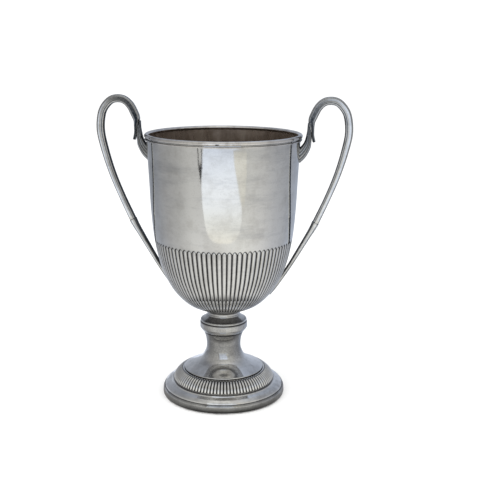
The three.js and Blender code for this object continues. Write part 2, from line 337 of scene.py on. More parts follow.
def silver(name, bright, dull, roughness, cloud, dark_oxide_and_shade=OXIDE_AND_SHADE_COLOUR):
    """Old polished silver: light tarnish, wiping scratches, and dark oxidised grooves, with
    painted shade and painted dark reflection wherever the point attribute asks for them.
    cloud is the share of the dull colour where the tarnish is thickest."""
    nodes = Nodes(name)
    place = nodes.place()
    clouds = nodes.noise(place, 55, 8, 0.72)
    specks = nodes.noise(place, 700, 4, 0.7)
    wiped = nodes.noise(nodes.stretched(place, (160, 160, 2600)), 1.0, 5, 0.7)
    crossed = nodes.noise(nodes.stretched(place, (1900, 260, 500), (0.5, 0.2, 0.6)), 1.0, 4, 0.7)
    tarnish = nodes.math("MULTIPLY", nodes.remap(clouds, 0.46, 0.66), cloud)
    spotted = nodes.math("MULTIPLY", nodes.remap(specks, 0.60, 0.75), 0.35)
    tarnish = nodes.math("MAXIMUM", tarnish, spotted)
    streaks = nodes.noise(nodes.stretched(place, (14, 14, 70)), 1.0, 7, 0.7)
    colour = nodes.mix(tarnish, bright, dull)
    colour = nodes.mix(nodes.remap(streaks, 0.5, 0.7, 0, 0.45), colour, STREAK)
    # Darkening from the point attribute: oxidised hollows, and in places painted shade and painted
    # dark reflection
    oxide_and_shade = nodes.add("ShaderNodeAttribute", attribute_name="oxide_and_shade").outputs["Fac"]
    oxide_and_shade_mask = nodes.math("ADD", oxide_and_shade, nodes.remap(specks, 0.35, 0.65, -0.08, 0.08))
    oxide_and_shade_mask = nodes.remap(oxide_and_shade_mask, 0.02, 0.98)
    colour = nodes.mix(oxide_and_shade_mask, colour, dark_oxide_and_shade)
    scratches = nodes.math("ADD", wiped, crossed)
    gloss = nodes.remap(scratches, 0.8, 1.3, roughness - 0.02, roughness + 0.05)
    gloss = nodes.math("ADD", gloss, nodes.math("MULTIPLY", tarnish, 0.07))
    gloss = nodes.math("ADD", gloss, nodes.remap(oxide_and_shade_mask, 0.6, 1.0, 0.0, 0.25))
    dents = nodes.noise(place, 60, 2, 0.4)
    relief = nodes.math("ADD", nodes.math("MULTIPLY", dents, 4.0), scratches)
    return nodes.shown("ShaderNodeBsdfPrincipled", {
        "Base Color": colour, "Metallic": 1.0, "Roughness": gloss,
        "Normal": nodes.bump(relief, 0.12, 0.04 * MM),
    })


def brass(name):
    """The plain, dulled brass of the hidden fixing."""
    nodes = Nodes(name)
    place = nodes.place()
    stain = nodes.remap(nodes.noise(place, 160, 5, 0.6), 0.4, 0.7)
    colour = nodes.mix(stain, (0.62, 0.44, 0.17, 1), (0.30, 0.19, 0.08, 1))
    grain = nodes.noise(nodes.stretched(place, (300, 300, 3000)), 1.0, 4, 0.6)
    return nodes.shown("ShaderNodeBsdfPrincipled", {
        "Base Color": colour, "Metallic": 1.0, "Roughness": nodes.remap(stain, 0, 1, 0.28, 0.5),
        "Normal": nodes.bump(grain, 0.3, 0.05 * MM),
    })


def patina():
    """The bowl's inside, browned and dulled by years without polish."""
    nodes = Nodes("bowl_patina")
    place = nodes.place()
    clouds = nodes.remap(nodes.noise(place, 45, 5, 0.6, 0.8), 0.35, 0.7)
    runs = nodes.noise(nodes.stretched(place, (150, 150, 12)), 1.0, 4, 0.6)
    colour = nodes.mix(clouds, (0.34, 0.28, 0.235, 1), (0.17, 0.13, 0.10, 1))
    colour = nodes.mix(nodes.remap(runs, 0.5, 0.75, 0, 0.6), colour, (0.40, 0.35, 0.30, 1))
    grain = nodes.noise(nodes.stretched(place, (400, 400, 2400)), 1.0, 4, 0.6)
    return nodes.shown("ShaderNodeBsdfPrincipled", {
        "Base Color": colour, "Metallic": 0.85, "Normal": nodes.bump(grain, 0.2, 0.05 * MM),
        "Roughness": nodes.remap(runs, 0.3, 0.7, 0.24, 0.38),
    })


BRIGHT = (0.93, 0.925, 0.91, 1)
BRIGHTEST = (0.98, 0.97, 0.95, 1)
WARM_BRIGHT = (0.95, 0.915, 0.88, 1)
DULL = (0.68, 0.67, 0.64, 1)
DULLER = (0.62, 0.60, 0.57, 1)
DULLEST = (0.56, 0.54, 0.52, 1)
DARK_SPOTS = (0.15, 0.115, 0.09, 1)
wall_silver = silver("wall_silver", BRIGHT, DULLER, roughness=0.05, cloud=0.5)
rim_silver = silver("rim_silver", WARM_BRIGHT, DARK_SPOTS, roughness=0.05, cloud=0.5)
handle_silver = silver("handle_silver", BRIGHT, DULL, roughness=0.09, cloud=0.5, dark_oxide_and_shade=BLUE_OXIDE_AND_SHADE_COLOUR)
foot_silver = silver("foot_silver", BRIGHT, DULLEST, roughness=0.055, cloud=0.75)
band_silver = silver("band_silver", BRIGHTEST, DULL, roughness=0.06, cloud=0.3)
inside_patina = patina()
fixing_brass = brass("fixing_brass")


# --- Reeds --------------------------------------------------------------------------

COLUMNS_PER_REED = 10
# A reed's or strap's section is a superellipse of this power: 2 would be round
REED_POWER = 2.2
STRAP_POWER = 2.6


class Reeds:
    """Rows of points over a ring of convex reeds, whose ends are round where asked.
    Each row bends round the ends, so that the edge of every reed is a clean arch."""

    def __init__(self, profile, first, last, count, depth_share, rows, round_first, round_last):
        turn = np.linspace(-1, 1, COLUMNS_PER_REED, endpoint=False)
        across = np.tile(np.sin(turn * np.pi / 2), count)
        half_first = np.pi * profile.at(first)[0] / count
        half_last = np.pi * profile.at(last)[0] / count
        arch = 1 - np.sqrt(1 - across ** 2)
        self.low = first + half_first * arch * round_first
        self.high = last - half_last * arch * round_last
        share = (1 - np.cos(np.pi * np.linspace(0, 1, rows))) / 2
        self.distance = self.low + share[:, None] * (self.high - self.low)
        reach_first = np.clip(first + half_first - self.distance, 0, None) / half_first
        reach_last = np.clip(self.distance - last + half_last, 0, None) / half_last
        reach = np.maximum(reach_first * round_first, reach_last * round_last)
        rho = np.clip(np.hypot(across, reach), 0, 1)
        half = np.pi * profile.at(self.distance)[0] / count
        self.offset = -depth_share * half * (1 - (1 - rho ** REED_POWER) ** (1 / REED_POWER))
        self.oxide_and_shade = smoothstep(rho, 0.66, 1.0)
        self.columns = count * COLUMNS_PER_REED
        self.radius, self.height = profile.at(self.distance, self.offset)


# --- Bowl ---------------------------------------------------------------------------

def bowl():
    """The bowl as one hollow sheet of silver, reeded below and plain above."""
    wall = Profile(spline(BOWL_STATIONS, 40))
    flute_start = 1.2
    flute_end = wall.where_height(FLUTE_TOP)
    depth_share = FLUTE_DEPTH / (math.pi * FLUTE_TOP_RADIUS / FLUTES)
    reeds = Reeds(
        wall, flute_start, flute_end, FLUTES, depth_share, rows=52, round_first=False,
        round_last=True,
    )
    rows = Rows(reeds.columns)
    rows.add(0, BOWL_BOTTOM)
    rows.add(*wall.at(0.0))
    # The underside round the boss is darkened, a painted shade and a painted dark reflection of
    # the foot below it
    dark_until, unshaded_from = 5, 21
    painted_underside_shade = 0.7 * (1 - smoothstep(reeds.distance, dark_until, unshaded_from))
    rows.add_all(reeds.radius, reeds.height, reeds.oxide_and_shade + painted_underside_shade)
    # The wall's chased edge round each arch, then rows that straighten out above it
    chased = 0.25
    edge = reeds.high + chased
    smooth_from = flute_end + 5
    for share, oxide_and_shade in ((0, 0.75), (0.06, 0.25), (0.2, 0), (0.5, 0), (1, 0)):
        rows.add(*wall.at(edge + share * (smooth_from - edge)), oxide_and_shade)
    for distance in np.linspace(smooth_from, wall.along[-1], 16)[1:]:
        rows.add(*wall.at(distance))
    rows.add(MOUTH_RADIUS, LIP_HEIGHT)
    inside_from = len(rows.rows) - 1
    inner_mouth = MOUTH_RADIUS - WALL
    rows.add(inner_mouth, LIP_HEIGHT)
    rows.add(inner_mouth, RIM_HEIGHT - 4.6)
    # Inside, the wall is smooth from a little under the lip down to the floor
    inset = -WALL - FLUTE_DEPTH
    smooth_top, smooth_bottom = wall.where_height(RIM_HEIGHT - 22), 4
    for distance in np.linspace(smooth_top, smooth_bottom, 18):
        rows.add(*wall.at(distance, inset))
    floor_height = wall.at(smooth_bottom, inset)[1]
    for radius, drop in ((14, 0.8), (8, 1.1), (0, 1.2)):
        rows.add(radius, floor_height - drop)
    radius, height, dark_oxide_and_shade = rows.arrays()
    points = lathe_points(radius, height, reeds.columns, FLUTE_TURN)
    faces = grid_faces(len(radius), reeds.columns)
    piece = new_piece("bowl_shell", points, faces, [wall_silver, inside_patina], dark_oxide_and_shade)
    inside = np.repeat(np.arange(len(radius) - 1) >= inside_from, reeds.columns)
    piece.data.polygons.foreach_set("material_index", inside.astype(np.int32))
    merge_poles(piece)
    finish_piece(piece, "bowl_silver", "bowl")


def rim_bead():
    """The rolled bead that caps the lip, with the slot that the lip stands in."""
    middle = (RIM_RADIUS + RIM_INNER_RADIUS) / 2
    half_width = (RIM_RADIUS - RIM_INNER_RADIUS) / 2
    half_height = 1.9
    clearance = 0.06
    outline = []
    flatness = 0.86
    for degrees in range(-76, 257, 12):
        angle = math.radians(degrees)
        side = math.copysign(abs(math.cos(angle)) ** flatness, math.cos(angle))
        x = middle + half_width * side
        y = RIM_HEIGHT - half_height + half_height * math.sin(angle)
        outline.append((x, y))
    slot_top = LIP_HEIGHT + clearance
    slot_bottom = RIM_HEIGHT - 2 * half_height + clearance
    inner = MOUTH_RADIUS - WALL - clearance
    outer = MOUTH_RADIUS + clearance
    outline += [(inner, slot_bottom), (inner, slot_top), (outer, slot_top), (outer, slot_bottom)]
    outline = np.array(outline)
    dark_oxide_and_shade = 0.95 * (1 - smoothstep(outline[:, 1], RIM_HEIGHT - 3.7, RIM_HEIGHT - 2.9))
    # Short dark dashes on the outer side, over the fine wire, gathered in patches round the rim
    columns = 440
    turn = 2 * np.pi * np.arange(columns) / columns
    dashes = np.sin(23 * turn) + np.sin(37 * turn + 1) + np.sin(61 * turn + 2)
    patches = np.sin(5 * turn + 2.95) + np.sin(9 * turn + 2.8)
    dashes = 0.85 * smoothstep(dashes, 0.6, 1.8) * smoothstep(patches, 0.2, 1.5)
    lower = 1 - smoothstep(outline[:, 1], RIM_HEIGHT - 2.6, RIM_HEIGHT - 1.6)
    lower_outside = lower * (outline[:, 0] > middle)
    dark_oxide_and_shade = np.maximum(dark_oxide_and_shade[:, None], lower_outside[:, None] * dashes[None, :])
    piece = turned("rim_bead", outline, rim_silver, columns, oxide_and_shade=dark_oxide_and_shade)
    finish_piece(piece, "rim_silver", "rim_wire")


def rim_fillet():
    """The fine wire under the rim."""
    thickness = 0.75
    centre = (MOUTH_RADIUS + thickness - 0.08, RIM_HEIGHT - 5.1)
    angle = np.linspace(0, 2 * math.pi, 12, endpoint=False)
    outline = np.stack([np.cos(angle), np.sin(angle)], -1) * thickness + centre
    dark_oxide_and_shade = 0.7 * smoothstep(np.sin(angle), 0.4, 0.95) + 0.3 * smoothstep(-np.sin(angle), 0.6, 1)
    piece = turned("rim_fine_wire", outline, rim_silver, columns=220, oxide_and_shade=dark_oxide_and_shade)
    finish_piece(piece, "rim_silver", "rim_fillet_wire")


# --- Boss, collar and stem ----------------------------------------------------------

BORE = 3.3


def bowl_boss():
    crown = BOWL_BOTTOM - GAP
    neck = [(15.9, 83.0), (15.9, 82.2), (16.1, 81.4), (15.7, 80.9), (15.7, 80.2), (16.1, 79.4)]
    flare = spline([(16.1, 79.4), (18.1, 77.5), (20.8, 75.6), (21.8, 75.2)], 6)[1:]
    bead = [(21.7, 74.9), (22.1, 74.7), (22.3, 74.3), (22.3, 73.9), (22.0, BOSS_BOTTOM)]
    outline = [(BORE, crown - 3), (BORE, crown), (16.8, crown), (16.9, crown - 0.2), *neck]
    outline += [tuple(point) for point in flare]
    outline += [*bead, (18, BOSS_BOTTOM), (14, crown - 5.5), (13, crown - 3)]
    outline = np.array(outline)
    # Oxide in the fine rings and in the joint at the foot; the darkening under the bowl and over
    # the flare is a painted dark reflection of the bowl's shaded underside
    shades = [
        (73.4, 1), (73.8, 0.9), (74.0, 0), (75.0, 0), (75.3, 0.6), (76, 0.42),
        (77.5, 0.25), (79.3, 0.25), (79.6, 0.75), (80.2, 0.3), (80.9, 0.75), (81.4, 0.1),
        (82.2, 0.35), (83, 0.7), (84.3, 1),
    ]
    dark_oxide_and_shade = np.interp(outline[:, 1], *zip(*shades))
    piece = turned("bowl_boss_turning", outline, foot_silver, oxide_and_shade=dark_oxide_and_shade)
    finish_piece(piece, "stem_silver", "bowl_boss")


def stem_collar():
    top = BOSS_BOTTOM - SEAM
    outline = rounded([
        (18, COLLAR_BOTTOM, 0), (19.9, COLLAR_BOTTOM, 0.4), (22.2, 66.4, 0.8),
        (22.8, 67.6, 0.6), (22.8, 72.0, 1.0), (22.1, top, 0.4), (18, top, 0),
    ])
    # The whole collar is darkened a little as a painted dark reflection of the table, and its top
    # edge further, dark in the joint under the boss
    dark_oxide_and_shade = 0.32 + 0.68 * smoothstep(outline[:, 1], 72.4, 73)
    piece = turned("stem_collar_ring", outline, foot_silver, oxide_and_shade=dark_oxide_and_shade)
    finish_piece(piece, "stem_silver", "stem_collar")


def stem():
    """The trumpet and its dish, spun from one sheet with a wired edge."""
    face = spline(STEM_STATIONS, 8)
    inside = (face + STEM_WALL * normals_of(face))[::-1]
    edge = [
        (37.75, 27.0), (38, 26.75), (38.05, 26.4), (37.9, 26.1), (37.5, 25.95), (36.6, 26.0),
    ]
    edge_starts = 36
    inside = inside[(inside[:, 1] < face[0, 1]) & (inside[:, 0] < edge_starts)]
    outline = np.array([*face, *edge, *inside, (inside[-1][0], face[0, 1])])
    # Tarnish on the neck, deepened as a painted dark reflection of the table; a painted shadow
    # under the collar; and the dish's edge oxidised
    height = outline[:, 1]
    dark_oxide_and_shade = 0.57 * smoothstep(height, 35, 47) + 0.5 * smoothstep(height, 61.2, 63.1)
    dark_oxide_and_shade[len(face) + 3:] = 0.7
    piece = turned("stem_trumpet", outline, foot_silver, oxide_and_shade=dark_oxide_and_shade)
    finish_piece(piece, "stem_silver", "stem")


# --- Foot ---------------------------------------------------------------------------

def foot_band():
    """The ring of small reeds round the foot."""
    slope = spline([(39.7, 25.8), (43.7, 23.4), (47.4, 19.5), (49.2, 14.9)], 12)
    face = Profile(slope[::-1])
    border, bore = 0.3, 37.2
    reeds = Reeds(
        face, border, face.along[-1] - border, BAND_REEDS, depth_share=0.85, rows=24,
        round_first=True, round_last=True,
    )
    rows = Rows(reeds.columns)
    rows.add(bore, BAND_BOTTOM, 1)
    rows.add(49.1, BAND_BOTTOM, 1)
    # The seam under the reeds is darkened, painted shade in the gap
    rows.add(*face.at(reeds.low - SEAM, -0.1), 0.6)
    rows.add_all(reeds.radius, reeds.height, reeds.oxide_and_shade)
    rows.add(*face.at(reeds.high + SEAM), 0.7)
    rows.add(39.2, 25.75, 0)
    rows.add(bore, 24.6, 1)
    radius, height, dark_oxide_and_shade = rows.arrays()
    points = lathe_points(radius, height, reeds.columns)
    faces = grid_faces(len(radius), reeds.columns, close_rows=True)
    piece = new_piece("foot_reeds", points, faces, [band_silver], dark_oxide_and_shade)
    finish_piece(piece, "foot_silver", "foot_reeded_band")


def foot_flange():
    top = BAND_BOTTOM - SEAM
    seam = FOOT_RING_HEIGHT + 0.1
    outline = rounded([
        (36.6, top, 0), (50.4, top, 0.4), (50.9, top - 0.9, 0.4), (54.3, 12.1, 2.5),
        (56.9, 10.2, 1.5), (57.4, seam, 0), (54.4, seam, 0), (49.8, 11.6, 1), (36.6, 12.3, 0),
    ])
    piece = turned("foot_flange_spinning", outline, foot_silver)
    finish_piece(piece, "foot_silver", "foot_flange")


def foot_ring():
    outline = rounded([
        (54.4, 0, 0.3), (FOOT_RADIUS - 1, 0, 0.3), (FOOT_RADIUS - 0.2, 0.8, 0.5),
        (FOOT_RADIUS, 2.6, 2), (FOOT_RADIUS - 0.3, 6.6, 1.2), (57.9, FOOT_RING_HEIGHT, 0.5),
        (54.4, FOOT_RING_HEIGHT, 0),
    ])
    # The whole ring is darkened as a painted dark reflection of the table, and its top edge
    # further, dark in the joint under the flange
    dark_oxide_and_shade = 0.36 + 0.55 * smoothstep(outline[:, 1], 8.2, FOOT_RING_HEIGHT)
    piece = turned("foot_base_ring", outline, foot_silver, oxide_and_shade=dark_oxide_and_shade)
    finish_piece(piece, "foot_silver", "foot_ring")


# --- Handles ------------------------------------------------------------------------

LOOP_CENTRE = 98.0
LOOP_ARCH_BASE = 260.0
LOOP_ARCH = (17.1, 24.7)
STRAP_WIDTH = 7.4
STRAP_DEPTH = 8.4

# Valleys down a strap's broad faces: place across it, half-width, depth, and whether it is a
# fine line, which is always dark. A place of 1 is the edge to the right as the stations run:
# the outside of a loop, and the bowl's side of an arm or a bracket. A depth of 1 would reach
# the strap's middle.
LOOP_VALLEYS = [
    (-0.42, 0.2, 0.10, True), (0.08, 0.52, 0.16, False), (0.68, 0.10, 0.05, True),
]
ARM_VALLEYS = [(-0.1, 0.45, 0.16, False), (0.62, 0.3, 0.06, True), (-0.6, 0.12, 0.06, True)]
BRACKET_VALLEYS = [
    (-0.55, 0.2, 0.16, True), (-0.1, 0.2, 0.16, True), (0.35, 0.2, 0.16, True),
    (0.8, 0.26, 0.05, True),
]


def strap_section(valleys, bowl_side, steps=22):
    """A strap's section, from -1 to 1 each way, and at each point how much it belongs to a
    dark fine line or to an edge darkened as a painted dark reflection, and how much to the hollow
    between the beads. bowl_side is the place of the edge that faces the bowl, 1 or -1."""
    across = [-np.cos(np.linspace(0, np.pi, steps + 1))]
    across += [place + width * np.linspace(-1, 1, 7) for place, width, _, _ in valleys]
    x = np.unique(np.round(np.concatenate(across), 3))
    closest = 0.006
    x = x[np.concatenate([[True], np.diff(x) > closest])]
    bulge = (1 - np.abs(x) ** STRAP_POWER) ** (1 / STRAP_POWER)
    # The edge on the bowl's side and the corners of the other edge are darkened: a painted dark
    # reflection of the surroundings in the strap's narrow sides
    inner, outer = bowl_side * x, -bowl_side * x
    fine = smoothstep(inner, 0.74, 0.88)
    fine = fine + 0.9 * smoothstep(outer, 0.80, 0.92) * (1 - smoothstep(outer, 0.95, 0.99))
    hollow = np.zeros_like(x)
    for place, width, depth, is_line in valleys:
        dip = np.clip(1 - ((x - place) / width) ** 2, 0, 1)
        bulge = bulge * (1 - depth * dip)
        if is_line:
            fine = np.maximum(fine, 0.85 * dip)
        else:
            hollow = np.maximum(hollow, np.clip(2.5 * dip, 0, 1))
    front = np.stack([x, -bulge], -1)
    back = np.stack([x[::-1], bulge[::-1]], -1)[1:-1]
    shades = [np.concatenate([shade, shade[::-1][1:-1]]) for shade in (fine, hollow)]
    return np.vstack([front, back]), *shades


def strap_mesh(stations, valleys, depths, steps, tarnish, bead=0.35, bowl_side=1):
    """Points, faces and darkness of a strap along (out, height, width) stations, with depths at
    its two ends: dark fine lines, painted dark reflection at the edges, and the darkening listed
    in tarnish. tarnish lists shares of the way along, each with the darkening in the hollow there,
    and bead is the share of that darkening on the beads."""
    section, fine, hollow = strap_section(valleys, bowl_side)
    path = spline(stations, steps, extend=True)
    side = normals_of(path[:, :2])
    along = np.stack([-side[:, 1], side[:, 0]], -1)
    depth = np.linspace(*depths, len(path))
    # Each ring's place on the path, how far past it, and scale: the ends are rounded off
    last = len(path) - 1
    rings = [(0, -0.3, 0.9), (0, -0.1, 0.97)]
    rings += [(i, 0.0, 1.0) for i in range(len(path))]
    rings += [(last, 0.1, 0.97), (last, 0.3, 0.9)]
    points, dark_oxide_and_shade = [], []
    for i, shift, scale in rings:
        across = section[:, :1] * path[i, 2] / 2 * scale
        plane = path[i, :2] + across * side[i] + shift * along[i]
        y = section[:, 1] * depth[i] / 2 * scale
        points.append(np.stack([plane[:, 0], y, plane[:, 1]], -1))
        dark = np.interp(i / last, *zip(*tarnish))
        # fine holds the dark fine lines and the painted dark reflection at the edges
        dark_oxide_and_shade.append(np.maximum(fine, dark * (bead + (1 - bead) * hollow)))
    count = len(section)
    faces = [list(face) for face in grid_faces(len(rings), count)]
    end = (len(rings) - 1) * count
    faces.append(list(range(count))[::-1])
    faces.append([end + i for i in range(count)])
    return np.vstack(points), faces, np.concatenate(dark_oxide_and_shade)


def seat_on_bowl(points, sink=0.5):
    """Keeps a strap's points from going further than sink into the bowl's wall."""
    curve = spline(BOWL_STATIONS, 20)
    radius = np.hypot(points[:, 0], points[:, 1])
    wall = np.interp(points[:, 2], curve[:, 1], curve[:, 0]) - sink
    scale = np.maximum(radius, wall) / radius
    points = points.copy()
    points[:, 0] *= scale
    points[:, 1] *= scale
    return points


def handle_loop(tarnish):
    """The strap from the splice up, over the arch, and down to the out-turned tongue."""
    arch = []
    for degrees in (25, 50, 75, 105, 130, 155):
        angle = math.radians(degrees)
        out = LOOP_CENTRE + LOOP_ARCH[0] * math.cos(angle)
        arch.append((out, LOOP_ARCH_BASE + LOOP_ARCH[1] * math.sin(angle), STRAP_WIDTH))
    stations = [
        (86.8, 171.8, 6.2), (97.1, 195, 5.9), (105.8, 217.5, 6.3), (112.2, 240, 7),
        (LOOP_CENTRE + LOOP_ARCH[0] - 0.1, 256, STRAP_WIDTH), *arch,
        (81, 266, 6.6), (81.2, 263, 5), (81.7, 260, 3.5), (81.9, 257, 2.9), (82.1, 253, 2.7),
        (82.6, 250, 2.9), (83.4, 247.2, 2.7),
    ]
    depths = (STRAP_DEPTH, STRAP_DEPTH - 1)
    return strap_mesh(stations, LOOP_VALLEYS, depths, 8, tarnish, bead=0.15, bowl_side=-1)


def handle_arm():
    """The tapering strip from the splice down along the bowl."""
    stations = [
        (86.5, 171.2, 6.8), (83.5, 165.2, 6), (78.6, 156.6, 5.2), (69.6, 140.8, 4.6),
        (60.8, 125.8, 4), (50, 109.6, 4), (43.9, 101.6, 4),
    ]
    tarnish = [(0, 0.1), (1, 0.3)]
    points, faces, shade = strap_mesh(stations, ARM_VALLEYS, (9.2, 6.4), 10, tarnish)
    return seat_on_bowl(points), faces, shade


def handle_bracket():
    """The bracket that holds the tongue, from its tip down to its foot on the bowl."""
    stations = [
        (77.6, 264, 0.6), (78.15, 261, 2.2), (78.55, 258, 3.3), (78.5, 254, 4.4),
        (78.2, 249.5, 5.7), (77.7, 246.6, 6.6), (76.6, 243, 8), (74.2, 239, 9.4),
        (71.2, 235.6, 11), (67.2, 232.6, 12.5),
    ]
    tarnish = [(0, 1), (0.5, 0.95), (1, 0.75)]
    points, faces, shade = strap_mesh(stations, BRACKET_VALLEYS, (7, 11), 6, tarnish)
    return seat_on_bowl(points), faces, shade


def handles():
    # The left loop is darker further round its arch than the right one
    right = [(0, 0.0), (0.3, 0.03), (0.4, 0.3), (0.48, 0.65), (0.6, 0.9), (1, 1)]
    left = [(0, 0.03), (0.27, 0.08), (0.36, 0.4), (0.44, 0.78), (0.6, 0.96), (1, 1)]
    for side, sign, tarnish in (("right", 1, right), ("left", -1, left)):
        parts = {
            "loop": handle_loop(tarnish), "arm": handle_arm(), "root_bracket": handle_bracket(),
        }
        for part, (points, faces, shade) in parts.items():
            name = f"handle_{side}_{part}"
            placed = points * (sign, sign, 1)
            piece = new_piece(f"{name}_casting", placed, faces, [handle_silver], shade)
            finish_piece(piece, "handle_silver", name)


# --- Hidden fixing ------------------------------------------------------------------

SEAT_TOP = COLLAR_BOTTOM - GAP
SEAT_THICKNESS = 2.5
WASHER_TOP = SEAT_TOP - SEAT_THICKNESS - GAP
WASHER_THICKNESS = 1.5
NUT_TOP = WASHER_TOP - WASHER_THICKNESS - GAP
NUT_THICKNESS = 5.0
NUT_ACROSS_FLATS = 10.0
STUD_RADIUS = 3.0
STUD_PITCH = 1.0


def seat_plate():
    outline = rounded([
        (BORE, SEAT_TOP - SEAT_THICKNESS, 0.3), (16.7, SEAT_TOP - SEAT_THICKNESS, 0.5),
        (16.7, SEAT_TOP, 0.5), (BORE, SEAT_TOP, 0.3),
    ])
    piece = turned("seat_plate_disc", outline, fixing_brass, columns=96)
    finish_piece(piece, "fixing_brass", "stem_seat_plate")


def stud_washer():
    bottom = WASHER_TOP - WASHER_THICKNESS
    outline = rounded([
        (BORE, bottom, 0.25), (8.5, bottom, 0.4), (8.5, WASHER_TOP, 0.4), (BORE, WASHER_TOP, 0.25),
    ])
    piece = turned("stud_washer_ring", outline, fixing_brass, columns=72)
    finish_piece(piece, "fixing_brass", "stud_washer")


def draw_stud():
    """The threaded stud, with its thread as one helix."""
    columns, rows_per_turn = 36, 8
    thread_depth, taper, taper_length, past_nut = 0.3, 0.5, 0.8, 3
    bottom, top = NUT_TOP - NUT_THICKNESS - past_nut, BOWL_BOTTOM - 2 * GAP
    rows = int((top - bottom) / STUD_PITCH * rows_per_turn)
    height = np.linspace(bottom, top, rows)
    turn = np.arange(columns) / columns
    phase = height[:, None] / STUD_PITCH - turn[None, :]
    thread = thread_depth * (0.5 + 0.5 * np.cos(2 * np.pi * phase))
    ends = smoothstep(np.minimum(height - bottom, top - height), 0, taper_length)[:, None]
    radius = STUD_RADIUS - thread - taper * (1 - ends)
    radius = np.vstack([np.zeros(columns), radius, np.zeros(columns)])
    height = np.concatenate([[bottom], height, [top]])[:, None] * np.ones(columns)
    points = lathe_points(radius, height, columns)
    piece = new_piece("draw_stud_thread", points, grid_faces(len(radius), columns), [fixing_brass])
    merge_poles(piece)
    finish_piece(piece, "fixing_brass", "draw_stud")


def stud_nut():
    """A hexagon nut, chamfered on both faces."""
    columns = 96
    angle = 2 * np.pi * np.arange(columns) / columns
    flat = NUT_ACROSS_FLATS / 2
    hexagon = flat / np.cos((angle % (np.pi / 3)) - np.pi / 6)
    chamfer = np.minimum(hexagon, flat + 0.05)
    bottom = NUT_TOP - NUT_THICKNESS
    bevel, slant = 0.4, 0.5
    rows = Rows(columns)
    rows.add(BORE, bottom + bevel)
    rows.add(BORE + bevel, bottom)
    rows.add(chamfer, bottom)
    rows.add(hexagon, bottom + slant)
    rows.add(hexagon, NUT_TOP - slant)
    rows.add(chamfer, NUT_TOP)
    rows.add(BORE + bevel, NUT_TOP)
    rows.add(BORE, NUT_TOP - bevel)
    radius, height, _ = rows.arrays()
    faces = grid_faces(len(radius), columns, close_rows=True)
    points = lathe_points(radius, height, columns)
    piece = new_piece("stud_nut_hexagon", points, faces, [fixing_brass], sharp=25)
    finish_piece(piece, "fixing_brass", "stud_nut")


# --- Studio, in metres --------------------------------------------------------------

def add_camera():
    yaw, pitch, roll = (math.radians(angle) for angle in (1.798, 13.721, 0.4215))
    distance, height = 0.8, 0.33824
    data = bpy.data.cameras.new("camera")
    data.sensor_width = 36
    data.lens = 62.18
    camera = add_object("camera", data)
    place = Matrix.Rotation(CAMERA_TURN, 4, "Z") @ Matrix.Translation((0, -distance, height))
    aim = Matrix.Rotation(-yaw, 4, "Z") @ Matrix.Rotation(math.pi / 2 - pitch, 4, "X")
    camera.matrix_world = place @ aim @ Matrix.Rotation(roll, 4, "Z")
    bpy.context.scene.camera = camera


def floor_material():
    nodes = Nodes("studio_floor")
    place = nodes.place()
    mottle = nodes.remap(nodes.noise(place, 3, 3), 0.3, 0.7)
    colour = nodes.mix(mottle, (0.93, 0.93, 0.93, 1), (0.95, 0.95, 0.945, 1))
    return nodes.shown("ShaderNodeBsdfPrincipled", {
        "Base Color": colour, "Roughness": 0.9, "Specular IOR Level": 0.1,
    })


def add_floor():
    half = 4.0
    corners = [(-half, -half, 0), (half, -half, 0), (half, half, 0), (-half, half, 0)]
    floor = flat_piece("floor", corners, floor_material())


def only_in_reflections(obj):
    """Turns a light or dark surface to the camera, and hides it from all but reflections."""
    obj.rotation_euler.z = CAMERA_TURN
    obj.visible_camera = False
    obj.visible_diffuse = False
    obj.visible_shadow = False
    obj.visible_transmission = False
    obj.visible_volume_scatter = False


TENT_RADIUS = 0.36
TENT_WALL = 0.36
TENT_TOP = 0.95
TENT_FLOOR = 0.0008
# The tent's light round the cup: degrees from the camera's side, brightness, and blueness
TENT_LIGHT = [
    (-180, 0.50, 0.20), (-150, 0.42, 0.17), (-139, 0.34, 0.17), (-115, 0.32, 0.12),
    (-92, 0.36, 0.02), (-69, 0.42, -0.03), (-46, 0.57, -0.05), (-30, 0.59, -0.04),
    (0, 0.64, -0.06), (30, 0.66, -0.07), (57, 0.57, -0.02), (80, 0.46, 0.06),
    (104, 0.40, 0.11), (127, 0.43, 0.22), (150, 0.48, 0.25), (180, 0.50, 0.20),
]
# And up it: height, and the share of that light
TENT_FADE = [(0.0, 1.14), (0.17, 0.86), (0.36, 0.75), (0.6, 1.0), (TENT_TOP, 1.3)]
# The painted shadow on the table fades out between these distances from the cup's axis
TABLE_DARK, TABLE_LIGHT = 0.064, 0.092


def tinted(level, blueness):
    """A colour of that level, bluish or, where blueness is below zero, yellowish."""
    red = level * (1 - max(blueness, 0) / 2)
    green = level * (1 - max(blueness, 0) / 8)
    blue = level * (1 + blueness * 0.62)
    return (red, green, blue, 1)


def fill_ramp(node, stops):
    ramp = node.color_ramp
    while len(ramp.elements) > 1:
        ramp.elements.remove(ramp.elements[-1])
    ramp.elements[0].position, ramp.elements[0].color = stops[0]
    for position, colour in stops[1:]:
        ramp.elements.new(position).color = colour


def emission_material(nodes, colour, strength=1.0):
    """A glow that is only found by reflection, and isn't sampled as a lamp."""
    material = nodes.shown("ShaderNodeEmission", {"Color": colour, "Strength": strength})
    material.cycles.emission_sampling = "NONE"
    return material


